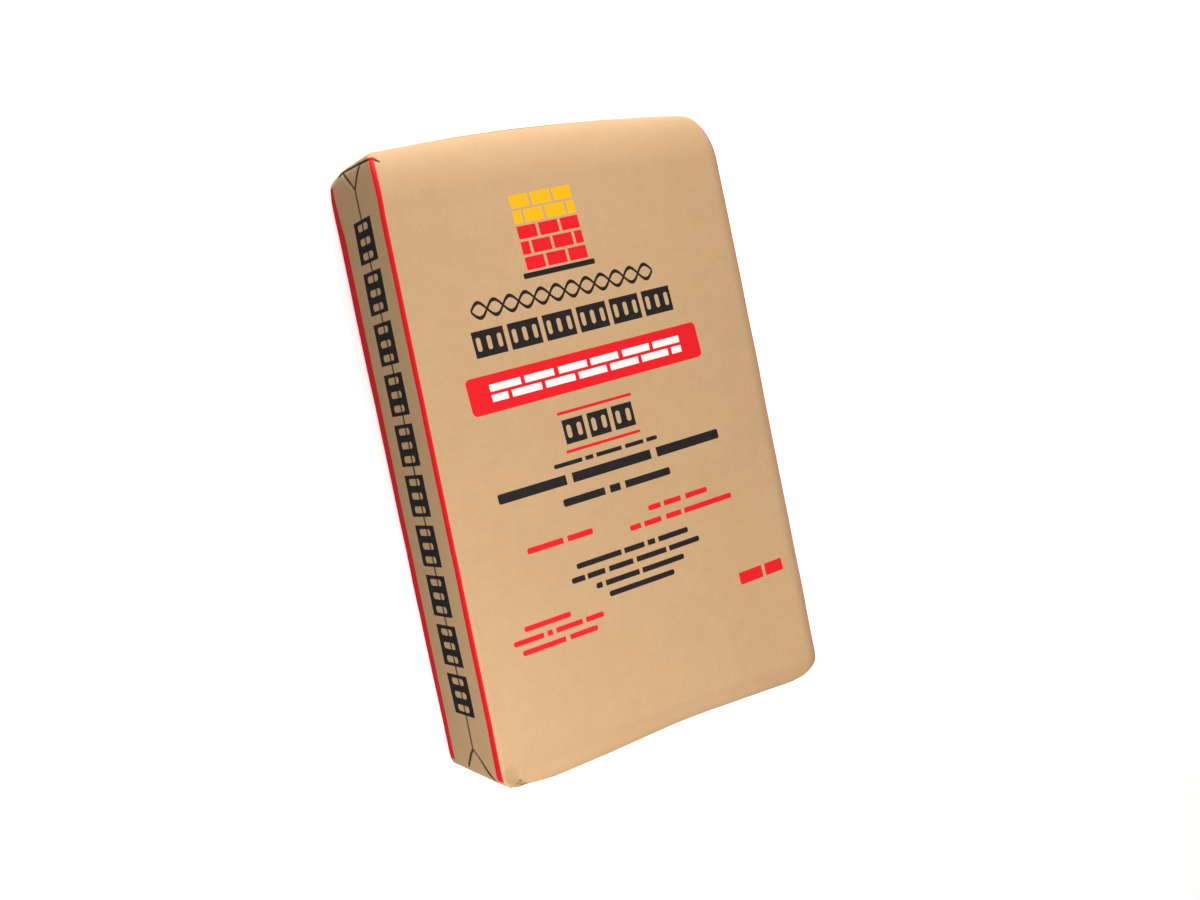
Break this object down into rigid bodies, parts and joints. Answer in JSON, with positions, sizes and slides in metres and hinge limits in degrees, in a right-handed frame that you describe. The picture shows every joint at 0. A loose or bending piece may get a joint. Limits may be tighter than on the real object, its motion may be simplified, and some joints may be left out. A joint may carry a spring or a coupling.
{
  "type": "cement bag",
  "caption": "Filled gusseted kraft paper valve sack of cement, lying flat, with pasted ends and creased narrow sides.",
  "frame": {"origin": "centre of the sack's outline, on the plane that its underside rests on", "axes": "+Y from the bottom end to the top end, +Z out of the printed face, +X across the sack"},
  "size_m": [0.4002, 0.6372, 0.1437],
  "materials": {
    "kraft_paper": "plain natural kraft, matt with a slight calendered sheen, printed in red, yellow and black",
    "cement_powder": "fine grey powder",
    "sleeve_paper": "plain natural kraft, matt",
    "patch_paper": "plain natural kraft, matt"
  },
  "bodies": {
    "root": {"paper_sack": "kraft_paper", "cement_fill": "cement_powder", "valve_sleeve": "sleeve_paper", "top_end_patch": "patch_paper", "bottom_end_patch": "patch_paper"}
  },
  "joints": []
}
